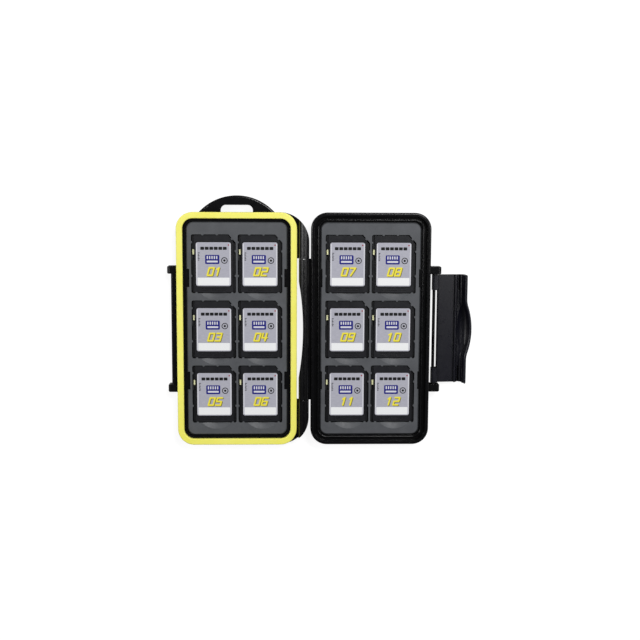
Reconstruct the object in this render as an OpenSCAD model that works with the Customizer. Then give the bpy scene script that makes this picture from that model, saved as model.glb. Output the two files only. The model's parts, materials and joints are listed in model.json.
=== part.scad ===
// Hinged two-half case for twelve full-size memory cards, lying open on a table.
// The halves turn about the Y axis line between them. Cards lie face up in two soft trays.

/* [Case halves] */
// Depth of one half, from its outer face to the rim plane
half_h = 10.8; // [10.4:0.2:14]
// Radius of the rim's corners, seen from above
corner_r = 9.2; // [8:0.2:12]
// Thickness of the side walls
wall_t = 2; // [1.8:0.1:2.4]
// Thickness of the outer faces
floor_t = 1.8; // [1.5:0.1:2.2]
// Rounding where the outer face meets the side walls
edge_r = 2.4; // [1.6:0.2:3]
// How far the rim stands out beyond the side walls
rim_out = 0.4; // [0.3:0.05:0.8]

/* [Rim and seal] */
// Width of the soft seal round the lid's rim
seal_w = 3.5; // [3.2:0.1:3.7]
// Thickness of the seal above the lid's rim
seal_t = 1.8; // [1.5:0.1:2.1]
// Rounding of the seal's top edges
seal_r = 0.5; // [0.3:0.1:0.8]
// Width of the root that holds the seal in the lid's rim
seal_root_w = 1.1; // [0.9:0.1:1.3]
// Depth of that root
seal_root_h = 1.4; // [1:0.1:1.6]
// Width of the base's outer rim land
land_w = 2; // [1.8:0.1:2.2]
// Rounding of the base's rim land
land_r = 0.9; // [0.5:0.1:0.9]
// Thickness of the low lip round the base's tray
lip_w = 0.8; // [0.6:0.1:0.9]
// Depth of that lip's top below the rim plane
lip_drop = 1.3; // [1:0.1:1.6]
// Depth of the ledge round the tray, below the rim plane
ledge_drop = 2.5; // [2.4:0.1:2.8]
// Thickness of that ledge
ledge_t = 1.5; // [1.2:0.1:1.8]

/* [Card trays] */
// Distance from the rim's outer edge to the tray's edge
tray_inset = 5.35; // [5.3:0.05:5.6]
// Depth of the tray's top below the rim plane
tray_drop = 2.2; // [2:0.1:2.6]
// Radius of the tray's corners
tray_r = 4.2; // [3.6:0.2:5]
// Chamfer round the tray's top edge
tray_chamfer = 0.7; // [0.4:0.1:0.9]
// Thickness of the tray's top between the pockets
tray_skin = 1.5; // [1.2:0.1:1.8]
// Thickness of the tray's skirt
skirt_t = 1.5; // [1.2:0.1:1.8]
// Columns of cards in one tray
columns = 2; // [2:1:4]
// Rows of cards in one tray
rows = 3; // [3:1:5]
// Space between the card columns
column_space = 1.9; // [1.8:0.1:3]
// Space between the card rows
row_space = 4.85; // [4.6:0.05:6]
// Tray left beside the outer cards
side_margin = 3.2; // [3.1:0.1:6]
// Tray left above and below the outer cards
end_margin = 7.4; // [6.8:0.1:12]
// Gap between a card and its pocket
pocket_gap = 0.4; // [0.3:0.05:0.45]
// How far the pocket is deeper than the card
pocket_spare = 0.6; // [0.2:0.1:0.8]
// Floor left under a pocket
pocket_floor = 1.6; // [1.4:0.1:1.8]
// Wall left round a pocket under the tray
pocket_wall = 1.1; // [0.9:0.1:1.4]
// Thickness of the ribs under the tray
rib_t = 1.2; // [1:0.1:1.6]
// Radius of the small bumps that grip a card's edge
nub_r = 0.75; // [0.6:0.05:0.9]
// Length of a fingernail recess along the card's lower edge
nail_w = 16.4; // [14:0.2:17]
// Reach of a fingernail recess beyond the card
nail_out = 3.5; // [2.6:0.1:3.6]
// Depth of a fingernail recess at the card's edge
nail_depth = 1.8; // [1.2:0.1:2.1]
// Distance of that recess from the card's middle line
nail_off = 1; // [0:0.1:2]
// Length of the case's clips that hold the tray
clip_l = 9.8; // [8:0.2:11]
// Reach of the lid's clips over its tray
lid_clip_reach = 1.6; // [1.2:0.1:1.7]
// Reach of the base's clips over its tray
base_clip_reach = 1; // [0.8:0.1:1.4]
// Thickness of those clips
clip_t = 1.1; // [0.9:0.1:1.3]
// Distance of the clips from the case's middle
clip_y = 29; // [24:0.5:32]

/* [Memory cards] */
// Width of a card
card_w = 24; // [23.8:0.1:24.2]
// Length of a card
card_l = 32; // [31.8:0.1:32.2]
// Thickness of a card
card_t = 2.1; // [1.9:0.1:2.2]
// Thickness of a card's thin side rails
rail_t = 1.4; // [1.2:0.1:1.5]
// Width of those rails
rail_w = 1.2; // [1:0.1:1.4]
// Width of a card's cut corner
cut_w = 4; // [3.6:0.2:4.4]
// Length of a card's cut corner
cut_l = 4.6; // [4:0.2:5]
// Rounding of a card's other corners
card_r = 0.7; // [0.5:0.1:1]
// Width of the label
label_w = 19.4; // [18:0.1:20]
// Length of the label
label_l = 24.4; // [22:0.2:25]
// Corner radius of the label
label_r = 1.1; // [0.6:0.1:1.4]
// Gap between the label and the edge of its recess
label_gap = 0.4; // [0.1:0.05:0.45]
// Thickness of the label and depth of its recess
label_t = 0.12; // [0.1:0.01:0.2]
// Distance of the label from the card's top
label_top = 4; // [3.6:0.1:4.4]
// Distance of the label from the card's left edge
label_left = 2.25; // [2:0.05:2.5]
// Length of the write lock's slider
lock_l = 2.8; // [2.6:0.1:3.4]
// Width of that slider
lock_w = 1; // [0.8:0.05:1.1]
// Travel of that slider
lock_travel = 2.8; // [2:0.1:3]
// Distance of that slider from the card's top
lock_top = 8; // [7.4:0.1:8.6]
// Length of the grip grooves below the label
grip_l = 13.5; // [10:0.5:16]

/* [Hinge] */
// Distance from each rim to the hinge's axis
hinge_gap = 3.9; // [3.6:0.1:4.6]
// Radius of the hinge barrel
barrel_r = 2.9; // [2.6:0.1:3]
// Length of the middle knuckle
knuckle_l = 79.5; // [74:0.5:84]
// Gap between the knuckle and the lid's wings
knuckle_gap = 0.3; // [0.2:0.05:0.5]
// Corner radius of the lid's hinge wings, seen from above
wing_r = 16.5; // [15:0.1:17.5]
// Depth of the scallop in the middle knuckle
scallop_depth = 2.45; // [1.5:0.05:2.6]
// Length of that scallop
scallop_l = 54.5; // [40:0.5:56]
// Depth of the hinge's arms below the rim plane
arm_t = 5.6; // [5:0.1:6]
// Width of the groove along the top of the barrel
barrel_groove_w = 1; // [0.6:0.1:1.4]
// Diameter of the hinge pins
pin_d = 2; // [1.6:0.1:2.2]
// Depth of each pin in the knuckle
pin_in = 8; // [6:0.5:9]
// Running clearance round each pin in the knuckle
pin_gap = 0.06; // [0.03:0.01:0.09]

/* [Latch] */
// Depth of the latch rods below the rim plane
rod_drop = 5.6; // [5.4:0.1:6]
// Distance of the latch rods from the rim's outer edge
rod_out = 2.6; // [2.5:0.1:2.9]
// Diameter of the latch rods
rod_d = 1.74; // [1.5:0.02:1.8]
// Distance between the outer ends of the rods' ears
ears_l = 71.2; // [64:0.1:74]
// Thickness of each ear
ear_t = 4.3; // [3.6:0.1:5]
// Reach of the base's ears beyond the rim
ear_reach = 6.4; // [5.8:0.1:6.8]
// Reach of the lid's ears beyond the rim
catch_reach = 5.4; // [5:0.1:6]
// Height of each ear
ear_h = 6; // [5.2:0.2:6.6]
// Gap between the latch and each ear
latch_side_gap = 0.5; // [0.4:0.1:1]
// Thickness of the latch's plate
plate_t = 2.2; // [1.8:0.1:2.4]
// Gap between the latch's plate and the rods
plate_gap = 0.18; // [0.12:0.02:0.3]
// Running clearance of the latch's clips on their rod
clip_gap = 0.08; // [0.04:0.01:0.09]
// Wall of those clips
clip_wall = 0.7; // [0.6:0.05:0.8]
// Length of those clips along the rod
clip_len = 8.6; // [7:0.2:10]
// Thickness of the latch's finger lip
lip_t = 1.5; // [1.3:0.1:1.7]
// Height of that lip above the rods' line
lip_h = 6; // [5:0.2:6.4]
// Gap between the closed latch's lip and the lid's outer face
lip_gap = 0.15; // [0.1:0.05:0.3]
// How far the middle of the lip bulges out
bulge_out = 2.8; // [2:0.1:3.2]
// Half the length of that bulge
bulge_half = 17.5; // [15:0.5:20]
// Height of the tooth that snaps behind the lid's catch
tooth_h = 1.6; // [1.2:0.1:1.8]
// Width of that tooth
tooth_w = 1.8; // [1.4:0.1:2.2]
// Length of the blind slots at the ends of the tooth
slot_l = 9.2; // [7:0.2:11]
// Width of those slots
slot_w = 0.9; // [0.6:0.1:1.2]
// Depth of those slots
slot_depth = 1.2; // [0.8:0.1:1.4]
// Width of the thumb dish inside the latch
dish_w = 5.6; // [4:0.2:6]
// Length of that dish
dish_l = 26; // [18:0.5:28]
// Depth of that dish
dish_depth = 1; // [0.6:0.1:1.2]

/* [Carrying loop] */
// Width of the loop where it meets the case
loop_w = 42; // [36:0.5:48]
// Reach of the loop beyond the rim
loop_out = 9.2; // [8.6:0.1:11]
// Thickness of the loop
loop_t = 4; // [3:0.2:5]
// Width of the loop's hole
hole_w = 18; // [14:0.5:20]
// Material left beyond the hole
loop_band = 5.3; // [4.8:0.1:6]

/* [Hidden] */
$fn = 72;
fine = 240;
fit = 0.05;
over = 1;
card_count = 2 * columns * rows;
function two_digits(n) = n < 10 ? str("0", n) : str(n);
function card_name(n) = str("memory_card_", two_digits(n));
function label_name(n) = str("card_label_", two_digits(n));
function lock_name(n) = str("lock_switch_", two_digits(n));
card_numbers = [for (n = [1:card_count]) n];

// The trays are laid out round the cards, and the halves round the trays
pitch_x = card_w + column_space;
pitch_y = card_l + row_space;
tray_w = card_w + (columns - 1) * pitch_x + 2 * side_margin;
tray_l = card_l + (rows - 1) * pitch_y + 2 * end_margin;
half_w = tray_w + 2 * tray_inset;
half_l = tray_l + 2 * tray_inset;
// Middle of each half, across the hinge
half_x = hinge_gap + half_w / 2;
// Heights
ledge_z = half_h - ledge_drop;
tray_z = half_h - tray_drop;
pocket_h = card_t + pocket_spare;
pocket_z = tray_z - pocket_h;
flange_h = 4;
flange_z = half_h - flange_h;
seal_z = half_h - seal_t;
// The ledge's inner edge and the lid rim's inner edge, measured inwards from the rim
seal_clear = 0.15;
ledge_in = tray_inset - seal_clear;
rim_in = seal_w + seal_clear;
// Low lip of the base, measured inwards from the rim
lip_in = seal_w + 2 * seal_clear;
lip_top = half_h - lip_drop;
notch_gap = 0.1;
notch_h = tray_z - ledge_z + clip_t + notch_gap;
// Places of the grip bumps along a card's edges, as shares of its size from its middle
bumps_top = [-0.25, 0.08];
bumps_low = [-0.4, 0.43];
bumps_left = [0.375, -0.21];
bumps_right = [0.22, -0.21];
// Fingernail recess: its arc in the tray's top, and the ball that leaves it
dish_edge_r = (pow(nail_w / 2, 2) + pow(nail_out, 2)) / (2 * nail_out);
ball_up = (pow(nail_w / 2, 2) - pow(nail_depth, 2)) / (2 * nail_depth);
ball_r = norm([dish_edge_r, ball_up]);
// Hinge
scallop_r = (pow(scallop_l / 2, 2) + pow(scallop_depth, 2)) / (2 * scallop_depth);
wing_y = knuckle_l / 2 + knuckle_gap;
wing_end = half_l / 2;
arm_step = 0.4;
arm_top = half_h - seal_t - arm_step;
arm_low = half_h - arm_t;
knuckle_arm_top = -1.2;
// Label, and the write lock with its notch and the tongue that holds it, measured from a card's middle
label_x = label_left + (label_w - card_w) / 2;
label_y = (card_l - label_l) / 2 - label_top;
lock_end_gap = 0.25;
lock_in = 0.3;
lock_up = 0.1;
lock_notch_w = lock_in + lock_w + fit;
lock_notch_l = lock_l + lock_travel + 2 * lock_end_gap;
lock_notch_y = card_l / 2 - lock_top + lock_end_gap - lock_notch_l;
tongue_t = 0.45;
tongue_z = 0.55;
tongue_reach = 0.9;
groove_w = 0.35;
// Latch, in a frame with its rod at the origin and its inside facing up
rod_r = rod_d / 2;
rod_x = hinge_gap + half_w + rod_out;
rod_z = half_h - rod_drop;
plate_in = -(rod_r + plate_gap);
plate_low = plate_in - plate_t;
latch_l = ears_l - 2 * ear_t - 2 * latch_side_gap;
latch_reach = rod_drop + half_h + lip_gap + lip_t;
clip_r = rod_r + clip_gap;
low_r = 1.4;
top_r = lip_t / 2;
blend_r = 14;
bulge_sum = (pow(bulge_half, 2) + pow(bulge_out, 2)) / (2 * bulge_out);
bulge_r = bulge_sum - blend_r;
bulge_a = acos(1 - bulge_out / bulge_sum);
tail = 4.5;
lip_fillet = 1;
pivot_edge = 2.3;
pivot_r = 0.9;
tooth_gap = 0.13;
tooth_x = 2 * rod_drop + rod_r + tooth_gap;
// The open latch droops until its lower edge rests on the table
table_gap = 0.02;
foot_x = latch_reach + bulge_out - low_r;
foot_z = -(plate_low + low_r);
droop = asin((rod_z - low_r - table_gap) / norm([foot_x, foot_z])) - atan2(foot_z, foot_x);
latch_span = (latch_reach + bulge_out - top_r) * cos(droop) + (lip_h - top_r) * sin(droop) + top_r;
// Loop
loop_r = (pow(loop_w / 2, 2) + pow(loop_out, 2)) / (2 * loop_out);
loop_z = (half_h - loop_t) / 2;
// Middle of the whole case as it lies open
mid_x = (rod_x + latch_span - hinge_gap - half_w - catch_reach) / 2;
mid_y = loop_out / 2;

module placed() {
  translate([-mid_x, -mid_y, 0]) children();
}

// Rounded rectangle about the origin
module round_rect(w, l, r) {
  square([w - 2 * r, l], center = true);
  square([w, l - 2 * r], center = true);
  for (x = [-1, 1], y = [-1, 1]) {
    translate([x * (w / 2 - r), y * (l / 2 - r)]) circle(r = r);
  }
}

// Sweeps a profile round a rounded rectangle: in it, x runs inwards from the outline and y is height
module round_ring(w, l, r) {
  for (i = [0:3]) {
    x = [1, -1, -1, 1][i] * (w / 2 - r);
    y = [1, 1, -1, -1][i] * (l / 2 - r);
    translate([x, y, 0]) rotate(90 * i)
      rotate_extrude(angle = 90) translate([r, 0]) mirror([1, 0]) children();
    along = i % 2 == 0 ? l : w;
    across = i % 2 == 0 ? w : l;
    rotate(90 * i) translate([across / 2, 0, 0]) rotate([90, 0, 0])
      linear_extrude(along - 2 * r, center = true) mirror([1, 0]) children();
  }
}

// Quarter of a square corner that a rounding of radius r takes away, with the corner at the origin
module corner_waste(r) {
  difference() {
    translate([-over, -over]) square(r + over);
    translate([r, r]) circle(r = r);
  }
}

// Wall, ledge and outer face of a half, up to a given height, as a profile
module half_profile(top, rim_inner) {
  difference() {
    union() {
      translate([rim_out, 0]) square([ledge_in - rim_out, floor_t]);
      translate([rim_out, 0]) square([wall_t, top]);
      polygon([
        [rim_out, flange_z - rim_out],
        [rim_out, top],
        [rim_inner, top],
        [rim_inner, ledge_z],
        [ledge_in, ledge_z],
        [ledge_in, ledge_z - ledge_t],
        [rim_out + wall_t, ledge_z - ledge_t - (ledge_in - rim_out - wall_t)]
      ]);
      polygon([[0, flange_z], [0, top], [rim_out + 0.1, top], [rim_out + 0.1, flange_z - rim_out]]);
    }
    translate([rim_out, 0]) corner_waste(edge_r);
  }
}

// One half without what it carries: walls, ledge, outer face and tray clips
module half_body(clip_reach) {
  round_ring(half_w, half_l, corner_r) children();
  plate_inset = ledge_in - over;
  linear_extrude(floor_t)
    round_rect(half_w - 2 * plate_inset, half_l - 2 * plate_inset, corner_r - plate_inset);
  for (x = [-1, 1], y = [-1, 1]) {
    translate([x * (half_w / 2 - ledge_in), y * clip_y, ledge_z - clip_t / 2])
      cube([2 * clip_reach, clip_l, clip_t], center = true);
  }
}

// Profile of the hinge's barrel, with the axis at the origin, and of its arm to a wall on the left
module hinge_section(top) {
  arm_end = -wing_r - over;
  step_x = -0.8 * barrel_r;
  step_slope = 0.3;
  difference() {
    union() {
      circle(r = barrel_r);
      polygon([
        [arm_end, arm_low - half_h],
        [-hinge_gap, arm_low - half_h],
        [0, -barrel_r],
        [0, 0],
        [step_x, 0],
        [step_x - step_slope, top],
        [arm_end, top]
      ]);
    }
    translate([0, barrel_r + 0.2 * barrel_groove_w]) circle(d = barrel_groove_w);
  }
}

module hinge_run(top, from, to) {
  translate([0, to, half_h]) rotate([90, 0, 0]) linear_extrude(to - from) hinge_section(top);
}

// Outline of one hinge wing, seen from above
module wing_outline() {
  cx = barrel_r - wing_r;
  cy = wing_end - wing_r;
  left = cx - 1;
  intersection() {
    translate([left, wing_y]) square([barrel_r - left, wing_end - wing_y]);
    union() {
      translate([cx, cy]) circle(r = wing_r, $fn = fine);
      translate([left, wing_y]) square([barrel_r - left, cy - wing_y]);
      translate([left, wing_y]) square([cx - left, wing_end - wing_y]);
    }
  }
}

module wing() {
  end_r = 3.5;
  difference() {
    intersection() {
      hinge_run(arm_top - half_h, wing_y, wing_end);
      linear_extrude(2 * half_h) wing_outline();
    }
    // Rounded end of the barrel
    translate([barrel_r - wing_r, wing_end - wing_r, half_h + barrel_r + over])
      rotate_extrude(angle = 90, $fn = fine) translate([wing_r, 0]) rotate(180) corner_waste(end_r);
    translate([-half_x, 0, 0]) {
      linear_extrude(seal_z) round_rect(half_w - 2 * over, half_l - 2 * over, corner_r - over);
      translate([0, 0, seal_z])
        linear_extrude(2 * half_h)
          round_rect(half_w + 2 * seal_clear, half_l + 2 * seal_clear, corner_r + seal_clear);
    }
    translate([0, wing_end + over, half_h]) rotate([90, 0, 0])
      cylinder(d = pin_d + fit, h = wing_end - wing_y + 2 * over);
  }
}

// Ears with the moulded rod between them, on a wall to the left, with the rim's outer edge at x = 0.
// A catch rod is joined to the wall all along, and a latch rod is free for the latch's clips.
module ears(reach, catch = false) {
  nose_r = 1.6;
  side_r = 0.9;
  wall_in = rim_out + wall_t;
  for (y = [-1, 1]) {
    translate([0, y * (ears_l - ear_t) / 2, 0]) intersection() {
      translate([0, 0, rod_z]) rotate([90, 0, 0])
        linear_extrude(ear_t, center = true) intersection() {
          translate([(reach - wall_in) / 2, 0]) round_rect(reach + wall_in, ear_h, nose_r);
          translate([-rim_out - over, -ear_h]) square([reach + rim_out + over, 2 * ear_h]);
        }
      linear_extrude(2 * half_h)
        translate([reach / 2 - ear_t / 2, 0]) round_rect(reach + ear_t, ear_t, side_r);
    }
  }
  translate([rod_out, 0, rod_z]) rotate([90, 0, 0])
    cylinder(r = rod_r, h = ears_l - ear_t, center = true);
  if (catch) {
    translate([-rim_out - over, -(ears_l - ear_t) / 2, rod_z - rod_r])
      cube([rod_out + rim_out + over, ears_l - ear_t, rod_d]);
  }
}

module loop() {
  base_y = half_l / 2;
  edge = 1.1;
  hole_r = 3;
  difference() {
    intersection() {
      translate([0, base_y + loop_out - loop_r, loop_z]) rotate_extrude($fn = fine) intersection() {
        translate([0, loop_t / 2]) round_rect(2 * loop_r, loop_t, edge);
        square([loop_r, loop_t]);
      }
      translate([-loop_w, base_y - rim_out - over, 0]) cube([2 * loop_w, 2 * loop_out, half_h]);
    }
    translate([0, base_y + loop_out - loop_band - hole_w / 2, 0])
      linear_extrude(half_h) round_rect(hole_w, hole_w, hole_r);
  }
}

module lid_shell() {
  color([0.12, 0.12, 0.13]) placed() union() {
    translate([-half_x, 0, 0]) {
      half_body(lid_clip_reach) difference() {
        half_profile(seal_z, rim_in);
        translate([(seal_w - seal_root_w) / 2 - fit, seal_z - seal_root_h - fit])
          square([seal_root_w + 2 * fit, seal_root_h + over]);
      }
      loop();
    }
    translate([-hinge_gap - half_w, 0, 0]) mirror([1, 0, 0]) ears(catch_reach, catch = true);
    wing();
    mirror([0, 1, 0]) wing();
  }
}

module base_shell() {
  color([0.12, 0.12, 0.13]) placed() difference() {
    union() {
      translate([half_x, 0, 0]) half_body(base_clip_reach) difference() {
        union() {
          half_profile(half_h, land_w);
          translate([lip_in + lip_w / 2, lip_top - lip_w / 2]) circle(d = lip_w);
          translate([lip_in, ledge_z - fit]) square([lip_w, lip_top - lip_w / 2 - ledge_z + fit]);
        }
        translate([0, half_h]) mirror([0, 1]) corner_waste(land_r);
        translate([land_w, ledge_z]) square([lip_in - land_w, ledge_drop + over]);
      }
      translate([hinge_gap + half_w, 0, 0]) ears(ear_reach);
      intersection() {
        mirror([1, 0, 0]) hinge_run(knuckle_arm_top, -knuckle_l / 2, knuckle_l / 2);
        translate([-2 * barrel_r, -half_l / 2, 0])
          cube([2 * barrel_r + hinge_gap + rim_out + over, half_l, 2 * half_h]);
      }
    }
    translate([scallop_depth - barrel_r - scallop_r, 0, 0])
      cylinder(r = scallop_r, h = 2 * half_h, $fn = 2 * fine);
    for (y = [-1, 1]) {
      translate([0, y * (knuckle_l / 2 - pin_in / 2 + over / 2), half_h]) rotate([90, 0, 0])
        cylinder(r = pin_d / 2 + pin_gap, h = pin_in + over, center = true);
    }
  }
}

module lid_seal() {
  color([0.96, 0.93, 0.45]) placed() translate([-half_x, 0, 0]) round_ring(half_w, half_l, corner_r) {
    difference() {
      union() {
        translate([0, seal_z]) square([seal_w, seal_t - fit]);
        translate([(seal_w - seal_root_w) / 2, seal_z - seal_root_h])
          square([seal_root_w, seal_root_h + fit]);
      }
      translate([0, half_h - fit]) mirror([0, 1]) corner_waste(seal_r);
      translate([seal_w, half_h - fit]) rotate(180) corner_waste(seal_r);
    }
  }
}

// Steel pin from the middle knuckle out into a lid wing
module hinge_pin() {
  end_gap = 0.3;
  far_inset = 0.55 * wing_r;
  pin_start = knuckle_l / 2 - pin_in + end_gap;
  pin_end = wing_end - far_inset;
  translate([0, pin_end, half_h]) rotate([90, 0, 0]) cylinder(d = pin_d, h = pin_end - pin_start);
}

module hinge_pin_upper() {
  color([0.75, 0.75, 0.77]) placed() hinge_pin();
}

module hinge_pin_lower() {
  color([0.75, 0.75, 0.77]) placed() mirror([0, 1, 0]) hinge_pin();
}

// Outline of a card grown by g on every side, seen from its label side
module card_outline(g) {
  w = card_w / 2 + g;
  l = card_l / 2 + g;
  difference() {
    round_rect(card_w + 2 * g, card_l + 2 * g, card_r + g);
    polygon([[w - cut_w, l], [w - cut_w, l + over], [w + over, l + over], [w, l - cut_l]]);
  }
}

// Pocket for one card, with its grip bumps and fingernail recess, cut from a tray
module pocket() {
  w = card_w / 2 + pocket_gap;
  l = card_l / 2 + pocket_gap;
  bump = nub_r - pocket_gap + fit;
  translate([0, 0, pocket_z]) linear_extrude(pocket_h + over) difference() {
    card_outline(pocket_gap);
    for (x = bumps_top * card_w) translate([x, l + bump]) circle(r = nub_r);
    for (x = bumps_low * card_w) translate([x, -l - bump]) circle(r = nub_r);
    for (y = bumps_left * card_l) translate([-w - bump, y]) circle(r = nub_r);
    for (y = bumps_right * card_l) translate([w + bump, y]) circle(r = nub_r);
    translate([w - cut_w / 2, l - cut_l / 2] + bump * [cut_l, cut_w] / norm([cut_l, cut_w])) circle(r = nub_r);
  }
  // The recess is a dish that a ball leaves in the tray's top
  translate([nail_off, -l, tray_z]) intersection() {
    translate([0, dish_edge_r - nail_out, ball_up]) sphere(r = ball_r, $fn = fine);
    translate([-nail_w, -nail_out - over, -pocket_h])
      cube([2 * nail_w, nail_out + 2 * over, pocket_h + over]);
  }
}

// Repeats its children at the middle of every pocket of a tray
module at_pockets() {
  for (c = [0:columns - 1], r = [0:rows - 1]) {
    translate([(c - (columns - 1) / 2) * pitch_x, (r - (rows - 1) / 2) * pitch_y, 0]) children();
  }
}

module tray(clip_reach) {
  top = tray_z - floor_t;
  pan_w = card_w + 2 * (pocket_gap + pocket_wall);
  pan_l = card_l + 2 * (pocket_gap + nail_out + over / 2);
  difference() {
    translate([0, 0, floor_t]) {
      round_ring(tray_w, tray_l, tray_r)
        polygon([[0, 0], [0, top - tray_chamfer], [tray_chamfer, top], [skirt_t, top], [skirt_t, 0]]);
      linear_extrude(top)
        round_rect(tray_w - 2 * tray_chamfer, tray_l - 2 * tray_chamfer, tray_r - tray_chamfer);
    }
    // Hollow underside, which leaves the skirt, the pocket floors and the ribs between them
    difference() {
      translate([0, 0, floor_t - over]) linear_extrude(top - tray_skin + over)
        round_rect(tray_w - 2 * skirt_t - 2 * clip_reach, tray_l - 2 * skirt_t, tray_r - skirt_t);
      at_pockets() translate([0, 0, pocket_z - pocket_floor])
        linear_extrude(half_h) round_rect(pan_w, pan_l, pocket_wall);
      for (c = [0:columns]) {
        translate([(c - columns / 2) * pitch_x - rib_t / 2, -tray_l / 2, 0]) cube([rib_t, tray_l, half_h]);
      }
      for (r = [0:rows]) {
        translate([-tray_w / 2, (r - rows / 2) * pitch_y - rib_t / 2, 0]) cube([tray_w, rib_t, half_h]);
      }
    }
    at_pockets() pocket();
    for (x = [-1, 1], y = [-1, 1]) {
      translate([x * tray_w / 2, y * clip_y, tray_z - notch_h / 2 + over / 2])
        cube([2 * (clip_reach + notch_gap), clip_l + 4 * notch_gap, notch_h + over], center = true);
    }
  }
}

module lid_tray() {
  color([0.35, 0.36, 0.38]) placed() translate([-half_x, 0, 0]) tray(lid_clip_reach);
}

module base_tray() {
  color([0.35, 0.36, 0.38]) placed() translate([half_x, 0, 0]) tray(base_clip_reach);
}

// Puts a card's part in its pocket: numbers run row by row from the top left, the lid's tray first
module in_pocket(n) {
  in_tray = (n - 1) % (columns * rows);
  side = n <= columns * rows ? -1 : 1;
  x = side * half_x + (in_tray % columns - (columns - 1) / 2) * pitch_x;
  y = ((rows - 1) / 2 - floor(in_tray / columns)) * pitch_y;
  placed() translate([x, y, pocket_z]) children();
}

module memory_card(n) {
  grip_low = 1.6;
  grip_step = 1.3 * groove_w;
  grip_y = -card_l / 2 + grip_low;
  color([0.17, 0.17, 0.19]) in_pocket(n) difference() {
    union() {
      linear_extrude(rail_t) card_outline(0);
      linear_extrude(card_t) intersection() {
        card_outline(0);
        square([card_w - 2 * rail_w, card_l], center = true);
      }
    }
    translate([label_x, label_y, card_t - label_t])
      linear_extrude(over) round_rect(label_w + 2 * label_gap, label_l + 2 * label_gap, label_r + label_gap);
    translate([-card_w / 2 - over, lock_notch_y, -over])
      cube([lock_notch_w + over, lock_notch_l, card_t + 2 * over]);
    translate([-card_w / 2, lock_notch_y, tongue_z - fit])
      cube([lock_notch_w + tongue_reach + 2 * fit, lock_notch_l, tongue_t + 2 * fit]);
    for (i = [-1, 1]) {
      translate([label_x, grip_y + i * grip_step, card_t])
        cube([grip_l, groove_w, groove_w], center = true);
    }
  }
}

module card_label(n) {
  color([0.68, 0.68, 0.72]) in_pocket(n) translate([label_x, label_y, card_t - label_t])
    linear_extrude(label_t) round_rect(label_w, label_l, label_r);
}

module lock_switch(n) {
  slider_y = card_l / 2 - lock_top - lock_l;
  color([0.89, 0.89, 0.55]) in_pocket(n) translate([-card_w / 2 + lock_in, slider_y, 0]) {
    difference() {
      translate([0, 0, lock_up]) cube([lock_w, lock_l, rail_t - lock_up]);
      for (i = [-1, 0, 1]) {
        translate([0, lock_l / 2 + 2 * i * groove_w, rail_t])
          cube([3 * lock_w, groove_w, groove_w], center = true);
      }
    }
    translate([0, 0, tongue_z]) cube([lock_w + tongue_reach, lock_l, tongue_t]);
  }
}

// Profile of the latch's free edge: x runs inwards from the edge, y is height above the rod
module lip_section() {
  difference() {
    union() {
      translate([0, plate_low]) square([tail, plate_t]);
      translate([0, plate_low]) square([lip_t, lip_h - top_r - plate_low]);
      translate([top_r, lip_h - top_r]) circle(r = top_r);
      translate([lip_t, plate_in]) square(lip_fillet);
    }
    translate([0, plate_low]) corner_waste(low_r);
    translate([lip_t + lip_fillet, plate_in + lip_fillet]) circle(r = lip_fillet);
  }
}

// Half of the latch's free edge, on the side of +Y
module lip_half() {
  end_y = latch_l / 2;
  translate([latch_reach, end_y, 0]) rotate([90, 0, 0]) linear_extrude(end_y - bulge_half)
    mirror([1, 0]) lip_section();
  translate([latch_reach + blend_r, bulge_half, 0]) rotate(180)
    rotate_extrude(angle = bulge_a, $fn = fine) translate([blend_r, 0]) lip_section();
  translate([latch_reach + bulge_out - bulge_r, 0, 0])
    rotate_extrude(angle = bulge_a, $fn = fine) translate([bulge_r, 0]) mirror([1, 0]) lip_section();
}

// Profile of a snap-on clip: a jaw round the rod, open towards the wall and flush with the rod there
module clip_section() {
  jaw_r = clip_r + clip_wall;
  jaw_left = rod_r + fit;
  mouth = 1.44 * clip_r;
  block = 0.9;
  heel_r = 1.9;
  brow_r = 0.8;
  difference() {
    union() {
      intersection() {
        circle(r = jaw_r);
        translate([-jaw_left, -jaw_r]) square(2 * jaw_r);
      }
      translate([0, plate_low]) square([jaw_r + block, jaw_r - plate_low]);
      translate([-jaw_left, plate_low]) square([jaw_left + over, -plate_low]);
    }
    circle(r = clip_r);
    translate([-2 * jaw_r, -mouth / 2]) square([2 * jaw_r, mouth]);
    translate([-jaw_left, plate_low]) corner_waste(heel_r);
    translate([jaw_r + block, jaw_r]) rotate(180) corner_waste(brow_r);
  }
}

// Profile of the tooth: steep towards the pivot, sloping towards the lip
module tooth_section() {
  polygon([
    [0, -over],
    [0, 0.75 * tooth_h],
    [0.25 * tooth_h, tooth_h],
    [0.5 * tooth_h, tooth_h],
    [tooth_w, 0],
    [tooth_w, -over]
  ]);
}

// Shallow thumb dish, a round section swept round a large circle, with its lowest point at the origin
module thumb_dish() {
  section_r = (pow(dish_w / 2, 2) + pow(dish_depth, 2)) / (2 * dish_depth);
  sweep_r = (pow(dish_l / 2, 2) + pow(dish_depth, 2)) / (2 * dish_depth);
  translate([0, 0, sweep_r]) rotate([0, 90, 0]) rotate_extrude($fn = 2 * fine) intersection() {
    translate([sweep_r - section_r, 0]) circle(r = section_r);
    translate([sweep_r - 2 * dish_depth, -dish_w / 2 - over]) square([2 * dish_depth, dish_w + 2 * over]);
  }
}

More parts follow.
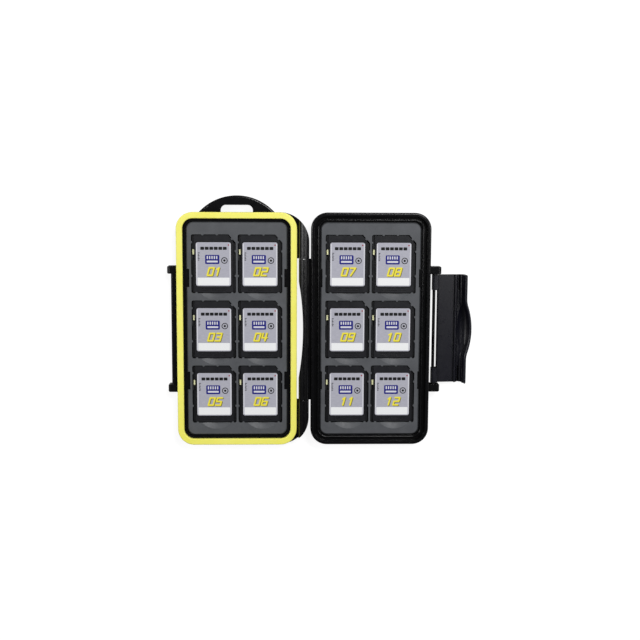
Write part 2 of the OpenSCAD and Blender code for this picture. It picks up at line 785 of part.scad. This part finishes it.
module latch_flat() {
  bulge_x = latch_reach + bulge_out - bulge_r;
  under_lip = 2;
  difference() {
    union() {
      lip_half();
      mirror([0, 1, 0]) lip_half();
      translate([pivot_edge, -latch_l / 2, plate_low])
        cube([latch_reach - under_lip - pivot_edge, latch_l, plate_t]);
      intersection() {
        translate([bulge_x, 0, plate_low]) cylinder(r = bulge_r - under_lip, h = plate_t, $fn = fine);
        translate([latch_reach - under_lip - over, -bulge_half, plate_low])
          cube([bulge_out + under_lip + over, 2 * bulge_half, plate_t]);
      }
      for (y = [-1, 1]) {
        translate([0, y * (latch_l - clip_len) / 2, 0]) rotate([90, 0, 0])
          linear_extrude(clip_len, center = true) clip_section();
      }
      translate([tooth_x, latch_l / 2, plate_in]) rotate([90, 0, 0]) linear_extrude(latch_l) tooth_section();
    }
    // Blind slots beside the tooth, open at the latch's ends
    for (y = [-1, 1]) {
      translate([tooth_x + tooth_w + slot_w, y * (latch_l - slot_l + over) / 2, plate_in])
        cube([slot_w, slot_l + over, 2 * slot_depth], center = true);
    }
    // Rounded pivot edge of the plate between the clips
    translate([pivot_edge, 0, plate_low]) rotate([90, 0, 0])
      linear_extrude(latch_l - 2 * clip_len, center = true) {
        corner_waste(pivot_r);
        translate([0, plate_t]) mirror([0, 1]) corner_waste(pivot_r);
      }
    translate([tooth_x + tooth_w + 2 * fit + dish_w / 2, 0, plate_in - dish_depth]) thumb_dish();
  }
}

module latch() {
  color([0.16, 0.16, 0.18]) placed() translate([rod_x, 0, rod_z]) rotate([0, droop, 0]) latch_flat();
}

lid_shell();
base_shell();
lid_seal();
lid_tray();
base_tray();
latch();
hinge_pin_upper();
hinge_pin_lower();
for (n = card_numbers) {
  memory_card(n);
  card_label(n);
  lock_switch(n);
}
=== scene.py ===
# Memory card case lying open: materials, label prints, grip bumps, light and camera

import json
import math

import bmesh
import bpy
from mathutils import Matrix, Vector

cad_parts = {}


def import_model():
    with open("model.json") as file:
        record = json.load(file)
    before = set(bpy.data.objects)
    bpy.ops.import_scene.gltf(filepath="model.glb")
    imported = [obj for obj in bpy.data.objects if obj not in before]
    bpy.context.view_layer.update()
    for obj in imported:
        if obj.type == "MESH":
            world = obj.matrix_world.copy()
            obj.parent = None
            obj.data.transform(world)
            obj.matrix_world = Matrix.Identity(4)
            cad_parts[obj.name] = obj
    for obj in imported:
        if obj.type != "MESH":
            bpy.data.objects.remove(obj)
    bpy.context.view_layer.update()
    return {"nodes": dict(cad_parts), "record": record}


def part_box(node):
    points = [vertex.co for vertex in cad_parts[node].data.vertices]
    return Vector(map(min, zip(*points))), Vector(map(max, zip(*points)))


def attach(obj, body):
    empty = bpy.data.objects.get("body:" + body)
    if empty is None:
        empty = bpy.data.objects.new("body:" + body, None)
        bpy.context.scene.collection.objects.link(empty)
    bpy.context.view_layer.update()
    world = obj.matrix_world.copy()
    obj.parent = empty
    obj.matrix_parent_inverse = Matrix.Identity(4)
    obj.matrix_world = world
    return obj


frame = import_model()

MM = 0.001
CARDS = [f"{n:02d}" for n in range(1, 13)]

# Camera, fitted to the rims' edges in the photograph; its turn is in degrees
IMAGE_PX = 640
FOCAL_PX = 1062.1
SENSOR_MM = 36
CAMERA_AT = (-19.35 * MM, 76.35 * MM, 600 * MM)
CAMERA_TURN = (-7.279, -1.824, 0.277)

# Even light from all round, as a share of white
AMBIENT = 0.06

# Floor: half its side and its drop below the case in m, its tone to the light that it throws back,
# and to the camera its own glow and the tone that shows the contact shadow
FLOOR_HALF = 4.0
FLOOR_DROP = 0.0002
FLOOR_BOUNCE = 0.6
FLOOR_GLOW = 0.88
FLOOR_SHADE = 0.25

# Lamps: place and size in m, power in W
SOFTBOXES = {
    "key": ((0.28, 0.5, 0.82), (0.45, 0.3), 6.6),
    "left": ((-0.72, 0.1, 0.68), (0.16, 0.8), 3.6),
    "right": ((0.68, 0.1, 0.7), (0.14, 0.8), 2.2),
}

# Label prints, all in mm: height over the card's face and thickness of one layer of ink
PRINT_LIFT = 0.02
PRINT_T = 0.015
# The label's thickness and corner radius
LABEL_T = 0.12
LABEL_R = 1.1
# Painted shade: inner and outer edge of the dark band round it, in its recess and on the card's
# face, where shade falls round the label
RECESS_SHADE = (0.04, 0.36)
FACE_SHADE = (0.42, 0.66)
SHADE_STEPS = 6
# Pale bar along each side: distance from the side and from the ends, width, corner radius
EDGE_IN, EDGE_ENDS, EDGE_W, EDGE_R = 0.12, 0.7, 0.6, 0.2
# Bars: x and y from the label's top left corner, width, height, corner radius
DASH = (2.5, 2.5, 2.1, 1.7, 0.3)
DASHES, DASH_PITCH = 6, 2.5
PICTOGRAM = (5.1, 7.0, 7.9, 5.1, 0.6)
CONTACT = (6.0, 7.6, 0.7, 1.7, 0.15)
CONTACTS, CONTACT_PITCH = 5, 1.3
PICTOGRAM_BAR = (6.0, 10.2, 6.1, 1.0, 0.2)
# Ring: middle, radius, line width and the radius of its dot
RING_AT = (15.8, 10.1)
RING_R, RING_LINE, RING_DOT_R = 1.8, 0.45, 0.65
# Number: top left corner, shadow's shift, half the stroke of the digits and of their shadow
NUMBER_AT = (6.2, 14.2)
SHADOW_BY = (0.35, 0.3)
STROKE_HALF, SHADOW_HALF = 0.45, 0.5
# A digit's size, its step as a share of its width, and how far it leans
DIGIT_W, DIGIT_L = 2.7, 4.2
DIGIT_STEP = 1.5
DIGIT_LEAN = 0.28
# Share of a layer between one stroke of a digit and the next, so that crossing strokes don't flicker
STROKE_RISE = 0.02
STROKE_STEPS = 6
# Box to write in: distance from both sides, top, distance from the label's lower edge, corner radius
BOX_IN, BOX_TOP, BOX_LOW, BOX_R = 0.85, 19.7, 0.5, 0.3
# Ticks up the left side: x, top, pitch, height, corner radius, and each one's width
TICK_X, TICK_TOP, TICK_PITCH, TICK_H, TICK_R = 1.1, 5.7, 0.8, 0.4, 0.05
TICK_WIDTHS = (1.0, 0.6, 0.9, 0.7, 1.0, 0.8)
# Red dot: distance from the right side and from the top, radius, sides
DOT_IN, DOT_TOP, DOT_R, DOT_STEPS = 1.3, 1.5, 0.4, 16

# Strokes of the plain digits, on a grid 2 wide and 4 high with y down
GRID_W, GRID_L = 2, 4
STROKES = {
    "0": [(0, 0, 2, 0), (2, 0, 2, 4), (2, 4, 0, 4), (0, 4, 0, 0)],
    "1": [(1, 0, 1, 4), (0.3, 0.8, 1, 0)],
    "2": [(0, 0, 2, 0), (2, 0, 2, 2), (2, 2, 0, 2), (0, 2, 0, 4), (0, 4, 2, 4)],
    "3": [(0, 0, 2, 0), (2, 0, 2, 4), (2, 4, 0, 4), (0.5, 2, 2, 2)],
    "4": [(0, 0, 0, 2.4), (0, 2.4, 2, 2.4), (1.5, 0, 1.5, 4)],
    "5": [(2, 0, 0, 0), (0, 0, 0, 2), (0, 2, 2, 2), (2, 2, 2, 4), (2, 4, 0, 4)],
    "6": [(2, 0, 0, 0), (0, 0, 0, 4), (0, 4, 2, 4), (2, 4, 2, 2), (2, 2, 0, 2)],
    "7": [(0, 0, 2, 0), (2, 0, 0.8, 4)],
    "8": [(0, 0, 2, 0), (2, 0, 2, 4), (2, 4, 0, 4), (0, 4, 0, 0), (0, 2, 2, 2)],
    "9": [(2, 2, 0, 2), (0, 2, 0, 0), (0, 0, 2, 0), (2, 0, 2, 4), (2, 4, 0, 4)],
}

# Grip bumps, all in mm: radius, distance of the middle from the card's edge, drop below the tray's
# top, height over the card's face, cut of the top edge
BUMP_R = 0.75
BUMP_OFF = 0.5
BUMP_SUNK = 0.02
BUMP_OVER = 0.02
BUMP_EDGE = 0.06
BUMP_STEPS = 20
# Their places along a card's edges, as shares of its size from its middle
BUMPS_TOP = (-0.25, 0.08)
BUMPS_LOW = (-0.4, 0.43)
BUMPS_LEFT = (0.375, -0.21)
BUMPS_RIGHT = (0.22, -0.21)
# The card's cut corner, across and along, which has one more bump
CORNER_CUT = (4.0, 4.6)


# Shader building

class Nodes:
    """A short way to build one material's node tree."""

    def __init__(self, name, color, roughness, **sockets):
        self.mat = bpy.data.materials.new(name)
        self.mat.use_nodes = True
        self.tree = self.mat.node_tree
        self.shader = self.tree.nodes["Principled BSDF"]
        self.set("Base Color", (*color, 1))
        self.set("Roughness", roughness)
        for key, value in sockets.items():
            self.set(key.replace("_", " "), value)

    def set(self, socket, value):
        self.shader.inputs[socket].default_value = value

    def new(self, kind, **sockets):
        node = self.tree.nodes.new(kind)
        for key, value in sockets.items():
            node.inputs[key].default_value = value
        return node

    def link(self, a, b):
        self.tree.links.new(a, b)

    def noise(self, per_mm, detail=4.0, rough=0.55, stretch=(1, 1, 1)):
        """Noise whose grains come per_mm to a millimetre."""
        place = self.new("ShaderNodeTexCoord").outputs["Object"]
        mapping = self.new("ShaderNodeMapping", Scale=stretch)
        self.link(place, mapping.inputs["Vector"])
        noise = self.new("ShaderNodeTexNoise", Scale=per_mm / MM, Detail=detail, Roughness=rough)
        self.link(mapping.outputs["Vector"], noise.inputs["Vector"])
        return noise.outputs["Fac"]

    def span(self, value, low, high, start=0.3, end=0.7):
        """low where the value is at start, high where it is at end, and even between them."""
        node = self.new("ShaderNodeMapRange")
        ends = {"From Min": start, "From Max": end, "To Min": low, "To Max": high}
        for key, number in ends.items():
            node.inputs[key].default_value = number
        self.link(value, node.inputs["Value"])
        return node.outputs["Result"]

    def mix(self, factor, a, b):
        """A colour between a and b, each of which is a colour or a socket."""
        node = self.new("ShaderNodeMix")
        node.data_type = "RGBA"
        for key, colour in (("A", a), ("B", b)):
            socket = [s for s in node.inputs if s.name == key and s.type == "RGBA"][0]
            if isinstance(colour, tuple):
                socket.default_value = (*colour, 1)
            else:
                self.link(colour, socket)
        self.link(factor, node.inputs["Factor"])
        return [s for s in node.outputs if s.type == "RGBA"][0]

    def bump(self, height, depth_mm, edge_mm=0.0):
        """Relief depth_mm deep, over edges softened by edge_mm."""
        node = self.new("ShaderNodeBump", Strength=1.0, Distance=depth_mm * MM)
        self.link(height, node.inputs["Height"])
        if edge_mm:
            soft = self.new("ShaderNodeBevel", Radius=edge_mm * MM)
            soft.samples = 4
            self.link(soft.outputs["Normal"], node.inputs["Normal"])
        return node.outputs["Normal"]

    def painted_crevice_shade(self, color, reach_mm=2.5, depth=0.85):
        """Painted shade: colour that darkens by up to depth in creases and deep corners, where less
        light reaches.
        """
        node = self.new("ShaderNodeAmbientOcclusion", Distance=reach_mm * MM)
        node.samples = 8
        closed = self.span(node.outputs["AO"], depth, 0, start=0.25, end=0.9)
        return self.mix(closed, color, (0, 0, 0))

    def use(self, **sockets):
        for key, output in sockets.items():
            self.link(output, self.shader.inputs[key.replace("_", " ")])


def srgb(r, g, b):
    """Scene colour of an 8-bit screen colour."""
    def one(v):
        v /= 255
        return v / 12.92 if v <= 0.04045 else ((v + 0.055) / 1.055) ** 2.4
    return one(r), one(g), one(b)


def scaled(color, share):
    """The colour, made darker or lighter by a share of itself."""
    return tuple(min(1, c * share) for c in color)


def moulded(name, color, roughness, grain_per_mm, grain_mm, tone=0.25, depth=0.85, **sockets):
    """Moulded plastic: a fine etched grain, faint flow marks, an uneven gloss, softened edges, and
    painted shade up to depth dark in its creases and corners.
    """
    n = Nodes(name, color, roughness, **sockets)
    grain = n.noise(grain_per_mm, detail=3)
    flow = n.noise(0.04, detail=2, stretch=(1, 0.35, 1))
    smear = n.noise(0.25, detail=5, rough=0.65)
    flowing = n.mix(n.span(flow, 0, 1), scaled(color, 1 - tone), scaled(color, 1 + tone))
    # Painted shade: the base colour darkens in creases and deep corners
    n.use(Base_Color=n.painted_crevice_shade(flowing, depth=depth))
    n.use(Roughness=n.span(smear, roughness * 0.88, roughness * 1.12))
    n.use(Normal=n.bump(grain, grain_mm, edge_mm=0.15))
    return n.mat


def case_black():
    """Hard plastic of the shells, near black and half glossy."""
    return moulded("case_black", srgb(8, 8, 10), 0.23, 6, 0.0012, Specular_IOR_Level=0.36)


def latch_black():
    """Plastic of the latch, a little paler and bluer than the shells."""
    return moulded("latch_black", srgb(17, 17, 25), 0.3, 6, 0.0012, Specular_IOR_Level=0.38)


def seal_yellow():
    """Silicone rubber: soft, a little translucent, with a dusting of fine specks."""
    n = Nodes("seal_yellow", srgb(249, 243, 114), 0.42, Specular_IOR_Level=0.6)
    n.set("Subsurface Weight", 0.1)
    n.set("Subsurface Radius", (2 * MM, 1.6 * MM, 0.4 * MM))
    n.set("Subsurface Scale", 1.0)
    tone = n.span(n.noise(0.05, detail=2), 0, 1)
    n.use(Base_Color=n.mix(tone, srgb(246, 240, 104), srgb(252, 246, 122)))
    n.use(Roughness=n.span(n.noise(0.6), 0.38, 0.5))
    n.use(Normal=n.bump(n.noise(5), 0.006))
    return n.mat


def tray_grey():
    """Soft foam rubber: matt, finely pitted, with a slight bloom, and painted shade in its hollows
    and corners.
    """
    n = Nodes("tray_grey", srgb(78, 80, 84), 0.48, Specular_IOR_Level=0.45)
    pits = n.noise(7, detail=2, rough=0.7)
    bloom = n.span(n.noise(0.12, detail=4), 0, 1)
    # Painted shade: the base colour darkens in the pockets, recesses and corners
    n.use(Base_Color=n.painted_crevice_shade(n.mix(bloom, srgb(74, 76, 80), srgb(83, 85, 89))))
    n.use(Roughness=n.span(n.noise(0.5), 0.44, 0.56))
    n.use(Normal=n.bump(pits, 0.014, edge_mm=0.2))
    return n.mat


def card_plastic():
    """Dark grey plastic of the cards."""
    return moulded("card_plastic", srgb(19, 20, 25), 0.4, 8, 0.002, tone=0.12,
                   Specular_IOR_Level=0.4)


def label_silver():
    """Printed silver: matt, with a fine grain."""
    n = Nodes("label_silver", srgb(172, 172, 183), 0.6, Specular_IOR_Level=0.3)
    grain = n.noise(3, detail=3, stretch=(0.15, 1, 1))
    n.use(Base_Color=n.mix(n.span(grain, 0, 1), srgb(164, 164, 176), srgb(180, 180, 190)))
    n.use(Roughness=n.span(grain, 0.56, 0.66))
    n.use(Normal=n.bump(grain, 0.002))
    return n.mat


def switch_yellow():
    """Pale yellow plastic of the sliders, with only faint painted shade in its slot."""
    return moulded("switch_yellow", srgb(255, 255, 204), 0.45, 8, 0.003, tone=0.02, depth=0.1)


def pin_steel():
    """Turned steel, with fine rings round the pin."""
    n = Nodes("pin_steel", (0.62, 0.62, 0.64), 0.28, Metallic=1.0)
    turned = n.noise(6, detail=3, stretch=(1, 8, 1))
    n.use(Roughness=n.span(turned, 0.2, 0.36))
    n.use(Normal=n.bump(turned, 0.002))
    return n.mat


def ink(name, color, roughness=0.45):
    """Printing ink, very slightly uneven."""
    n = Nodes(name, color, roughness, Specular_IOR_Level=0.3)
    fleck = n.span(n.noise(9, detail=2), 0, 1)
    n.use(Base_Color=n.mix(fleck, scaled(color, 0.94), scaled(color, 1.05)))
    n.use(Roughness=n.span(n.noise(2), roughness * 0.9, roughness * 1.1))
    return n.mat


MATERIALS = {
    "case_black": case_black(),
    "latch_black": latch_black(),
    "seal_yellow": seal_yellow(),
    "tray_grey": tray_grey(),
    "card_plastic": card_plastic(),
    "label_silver": label_silver(),
    "switch_yellow": switch_yellow(),
    "pin_steel": pin_steel(),
}
INKS = {
    "ink_black": ink("ink_black", srgb(7, 7, 10), 0.6),
    "ink_blue": ink("ink_blue", srgb(26, 28, 122)),
    "ink_yellow": ink("ink_yellow", srgb(240, 226, 70)),
    "ink_shadow": ink("ink_shadow", srgb(120, 112, 50)),
    "ink_white": ink("ink_white", srgb(238, 239, 240), 0.6),
    "ink_edge": ink("ink_edge", srgb(212, 212, 219), 0.6),
    "ink_red": ink("ink_red", srgb(150, 40, 50)),
}


# CAD nodes

for part in frame["record"]["subparts"]:
    node = frame["nodes"][part["node"]]
    node.data.materials.clear()
    node.data.materials.append(MATERIALS[part["material_slot"]])


# Outlines, meshes and objects

def rounded_outline(x, y, w, h, r, steps=4):
    """Corner points of a rounded rectangle whose top left corner is at x, y."""
    left, right, top, low = x + r, x + w - r, y + r, y + h - r
    points = []
    for cx, cy, start in ((right, top, -90), (right, low, 0), (left, low, 90), (left, top, 180)):
        for i in range(steps + 1):
            a = math.radians(start + 90 * i / steps)
            points.append((cx + r * math.cos(a), cy + r * math.sin(a)))
    return points


def circle_outline(x, y, r, steps=28):
    """Corner points of a circle with its middle at x, y."""
    turns = [2 * math.pi * i / steps for i in range(steps)]
    return [(x + r * math.cos(a), y + r * math.sin(a)) for a in turns]


def stroke_outline(x0, y0, x1, y1, half):
    """A stroke with round ends."""
    along = math.atan2(y1 - y0, x1 - x0)
    points = []
    for cx, cy, start in ((x1, y1, along - math.pi / 2), (x0, y0, along + math.pi / 2)):
        for i in range(STROKE_STEPS + 1):
            a = start + math.pi * i / STROKE_STEPS
            points.append((cx + half * math.cos(a), cy + half * math.sin(a)))
    return points


def skin(bm, rings):
    """Side faces between each closed ring of points and the next."""
    faces = []
    for a, b in zip(rings, rings[1:]):
        for i in range(len(a)):
            j = (i + 1) % len(a)
            faces.append(bm.faces.new((a[i], a[j], b[j], b[i])))
    return faces


def scene_object(name, data):
    """A new object in the scene."""
    obj = bpy.data.objects.new(name, data)
    bpy.context.scene.collection.objects.link(obj)
    return obj


def finished_mesh(name, bm, materials):
    """The mesh of the faces gathered in bm, with its materials."""
    mesh = bpy.data.meshes.new(name)
    bm.to_mesh(mesh)
    bm.free()
    for material in materials:
        mesh.materials.append(material)
    return mesh


# Label prints

class Print:
    """Flat shapes on one label, each a thin slab of ink, gathered in one mesh."""

    def __init__(self, name):
        self.name = name
        self.bm = bmesh.new()

    def points(self, outline, z):
        """Points at height z. An outline has x to the right and y down from the label's corner."""
        return [self.bm.verts.new((x * MM, -y * MM, z * MM)) for x, y in outline]

    def paint(self, faces, ink_name):
        for face in faces:
            face.material_index = list(INKS).index(ink_name)

    def slab(self, outline, ink_name, layer=0):
        low = PRINT_LIFT + layer * PRINT_T
        top = self.points(outline, low + PRINT_T)
        under = self.points(outline, low)
        faces = [self.bm.faces.new(top), self.bm.faces.new(under[::-1])]
        self.paint(faces + skin(self.bm, [top, under]), ink_name)

    def bar(self, x, y, w, h, r, ink_name, layer=0):
        self.slab(rounded_outline(x, y, w, h, min(r, w / 2, h / 2)), ink_name, layer)

    def row(self, first, count, pitch, ink_name, layer=0):
        """Equal bars side by side, from the first one on."""
        x, y, w, h, r = first
        for k in range(count):
            self.bar(x + pitch * k, y, w, h, r, ink_name, layer)

    def band(self, inner, outer, ink_name, low=PRINT_LIFT):
        """A closed band of ink between two outlines with as many points each."""
        high = low + PRINT_T
        around = ((inner, low), (inner, high), (outer, high), (outer, low))
        rings = [self.points(outline, z) for outline, z in around]
        self.paint(skin(self.bm, rings + rings[:1]), ink_name)

    def ring(self, x, y, r, width, ink_name):
        self.band(circle_outline(x, y, r - width), circle_outline(x, y, r), ink_name)

    def number(self, text, x, y, half, ink_name, layer):
        """Plain leaning digits, whose strokes reach half to each side."""
        unit_x, unit_y = DIGIT_W / GRID_W, DIGIT_L / GRID_L
        for k, digit in enumerate(text):
            for i, (x0, y0, x1, y1) in enumerate(STROKES[digit]):
                ends = []
                for a, b in ((x0, y0), (x1, y1)):
                    lean = (GRID_L - b) * unit_y * DIGIT_LEAN
                    ends += [x + k * DIGIT_W * DIGIT_STEP + a * unit_x + lean, y + b * unit_y]
                self.slab(stroke_outline(*ends, half), ink_name, layer + STROKE_RISE * i)

    def finish(self, corner, body):
        bmesh.ops.recalc_face_normals(self.bm, faces=self.bm.faces)
        obj = scene_object(self.name, finished_mesh(self.name, self.bm, INKS.values()))
        obj.data.transform(Matrix.Translation(corner))
        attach(obj, body)


def label_print(n):
    """A generic label: dashes, a card pictogram, a ring, a number and a box to write in."""
    low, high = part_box(f"card_label_{n}")
    width = (high.x - low.x) / MM
    height = (high.y - low.y) / MM
    sheet = Print(f"label_print_{n}")

    # Painted shade: a dark band of ink round the label, on the floor of its recess and on the card's
    # face
    for edges, shade_low in ((RECESS_SHADE, PRINT_LIFT - LABEL_T), (FACE_SHADE, PRINT_LIFT)):
        inner, outer = (rounded_outline(-g, -g, width + 2 * g, height + 2 * g, LABEL_R + g,
                                        SHADE_STEPS) for g in edges)
        sheet.band(inner, outer, "ink_black", shade_low)

    # Pale edge along both sides
    for x in (EDGE_IN, width - EDGE_IN - EDGE_W):
        sheet.bar(x, EDGE_ENDS, EDGE_W, height - 2 * EDGE_ENDS, EDGE_R, "ink_edge")

    # Heading of plain dashes
    sheet.row(DASH, DASHES, DASH_PITCH, "ink_black")

    # Pictogram of a card with its contacts
    sheet.bar(*PICTOGRAM, "ink_blue")
    sheet.row(CONTACT, CONTACTS, CONTACT_PITCH, "ink_edge", 1)
    sheet.bar(*PICTOGRAM_BAR, "ink_edge", 1)

    # Plain ring with a dot
    sheet.ring(*RING_AT, RING_R, RING_LINE, "ink_black")
    sheet.slab(circle_outline(*RING_AT, RING_DOT_R), "ink_black")

    # The card's number, over its shadow
    x, y = NUMBER_AT
    shift_x, shift_y = SHADOW_BY
    sheet.number(n, x + shift_x, y + shift_y, SHADOW_HALF, "ink_shadow", 0)
    sheet.number(n, x, y, STROKE_HALF, "ink_yellow", 2)

    # Box to write in
    sheet.bar(BOX_IN, BOX_TOP, width - 2 * BOX_IN, height - BOX_TOP - BOX_LOW, BOX_R, "ink_white")

    # Row of ticks up the left side, and a dot
    for k, w in enumerate(TICK_WIDTHS):
        sheet.bar(TICK_X, TICK_TOP + TICK_PITCH * k, w, TICK_H, TICK_R, "ink_black")
    sheet.slab(circle_outline(width - DOT_IN, DOT_TOP, DOT_R, DOT_STEPS), "ink_red")

    sheet.finish(Vector((low.x, high.y, high.z)), f"card_{n}")


for card in CARDS:
    label_print(card)


# Grip bumps: soft lips of the trays that reach over the cards' edges

def bump(name, at, radius, top, under, body):
    """A small soft disc whose top edge is cut back."""
    bm = bmesh.new()
    cut = BUMP_EDGE * MM
    rings = []
    for r, z in ((radius, under), (radius, top - cut), (radius - cut, top)):
        rings.append([bm.verts.new((x, y, z)) for x, y in circle_outline(*at, r, BUMP_STEPS)])
    bm.faces.new(rings[0][::-1])
    bm.faces.new(rings[-1])
    skin(bm, rings)
    obj = scene_object(name, finished_mesh(name, bm, [MATERIALS["tray_grey"]]))
    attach(obj, body)


def grip_bumps(n):
    """The bumps round one card, on the tray that holds it."""
    low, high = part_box(f"memory_card_{n}")
    middle, size = (low + high) / 2, high - low
    body = "lid" if int(n) <= len(CARDS) / 2 else "base"
    tray_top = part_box(f"{body}_tray")[1].z
    half_w = size.x / 2 + BUMP_OFF * MM
    half_l = size.y / 2 + BUMP_OFF * MM
    places = [(share * size.x, half_l) for share in BUMPS_TOP]
    places += [(share * size.x, -half_l) for share in BUMPS_LOW]
    places += [(-half_w, share * size.y) for share in BUMPS_LEFT]
    places += [(half_w, share * size.y) for share in BUMPS_RIGHT]
    cut_w, cut_l = (side * MM for side in CORNER_CUT)
    out = Vector((cut_l, cut_w)).normalized() * BUMP_OFF * MM
    places.append((size.x / 2 - cut_w / 2 + out.x, size.y / 2 - cut_l / 2 + out.y))
    for k, (x, y) in enumerate(places):
        bump(f"grip_bump_{n}_{k + 1}", (middle.x + x, middle.y + y), BUMP_R * MM,
             tray_top - BUMP_SUNK * MM, high.z + BUMP_OVER * MM, body)


for card in CARDS:
    grip_bumps(card)


# Stage, light and camera

def floor():
    """White to the camera but for a faint contact shadow, and pale to everything else."""
    mesh = bpy.data.meshes.new("floor")
    s = FLOOR_HALF
    mesh.from_pydata([(-s, -s, 0), (s, -s, 0), (s, s, 0), (-s, s, 0)], [], [(0, 1, 2, 3)])
    obj = scene_object("floor", mesh)
    obj.location.z = -FLOOR_DROP
    mat = bpy.data.materials.new("floor_white")
    mat.use_nodes = True
    tree = mat.node_tree
    tree.nodes.clear()
    out = tree.nodes.new("ShaderNodeOutputMaterial")
    diffuse = tree.nodes.new("ShaderNodeBsdfDiffuse")
    diffuse.inputs["Color"].default_value = (FLOOR_BOUNCE, FLOOR_BOUNCE, FLOOR_BOUNCE, 1)
    shade = tree.nodes.new("ShaderNodeBsdfDiffuse")
    shade.inputs["Color"].default_value = (FLOOR_SHADE, FLOOR_SHADE, FLOOR_SHADE, 1)
    glow = tree.nodes.new("ShaderNodeEmission")
    glow.inputs["Color"].default_value = (1, 1, 1, 1)
    glow.inputs["Strength"].default_value = FLOOR_GLOW
    seen = tree.nodes.new("ShaderNodeLightPath")
    both = tree.nodes.new("ShaderNodeAddShader")
    mix = tree.nodes.new("ShaderNodeMixShader")
    tree.links.new(shade.outputs[0], both.inputs[0])
    tree.links.new(glow.outputs[0], both.inputs[1])
    tree.links.new(seen.outputs["Is Camera Ray"], mix.inputs["Fac"])
    tree.links.new(diffuse.outputs[0], mix.inputs[1])
    tree.links.new(both.outputs[0], mix.inputs[2])
    tree.links.new(mix.outputs[0], out.inputs["Surface"])
    mesh.materials.append(mat)


def softbox(name, at, size, power):
    """A rectangular lamp that faces the case and that the camera doesn't see."""
    lamp = bpy.data.lights.new(name, "AREA")
    lamp.shape = "RECTANGLE"
    lamp.size, lamp.size_y = size
    lamp.energy = power
    obj = scene_object(name, lamp)
    obj.location = at
    obj.rotation_euler = (-Vector(at)).to_track_quat("-Z", "Y").to_euler()
    obj.visible_camera = False


def world():
    """White to the camera, and a weak even light to everything else."""
    w = bpy.data.worlds.new("studio")
    bpy.context.scene.world = w
    w.use_nodes = True
    tree = w.node_tree
    back = tree.nodes["Background"]
    back.inputs["Color"].default_value = (1, 1, 1, 1)
    seen = tree.nodes.new("ShaderNodeLightPath")
    strength = tree.nodes.new("ShaderNodeMapRange")
    strength.inputs["To Min"].default_value = AMBIENT
    strength.inputs["To Max"].default_value = 1.0
    tree.links.new(seen.outputs["Is Camera Ray"], strength.inputs["Value"])
    tree.links.new(strength.outputs["Result"], back.inputs["Strength"])


def camera():
    """The photograph's view, with a pinhole's sharpness."""
    data = bpy.data.cameras.new("camera")
    data.sensor_width = SENSOR_MM
    data.lens = FOCAL_PX / IMAGE_PX * data.sensor_width
    data.clip_start, data.clip_end = 0.01, 20
    obj = scene_object("camera", data)
    obj.location = CAMERA_AT
    obj.rotation_euler = [math.radians(a) for a in CAMERA_TURN]
    bpy.context.scene.camera = obj


floor()
world()
for name, (at, size, power) in SOFTBOXES.items():
    softbox(name, at, size, power)
camera()
bpy.context.scene.view_settings.view_transform = "Standard"
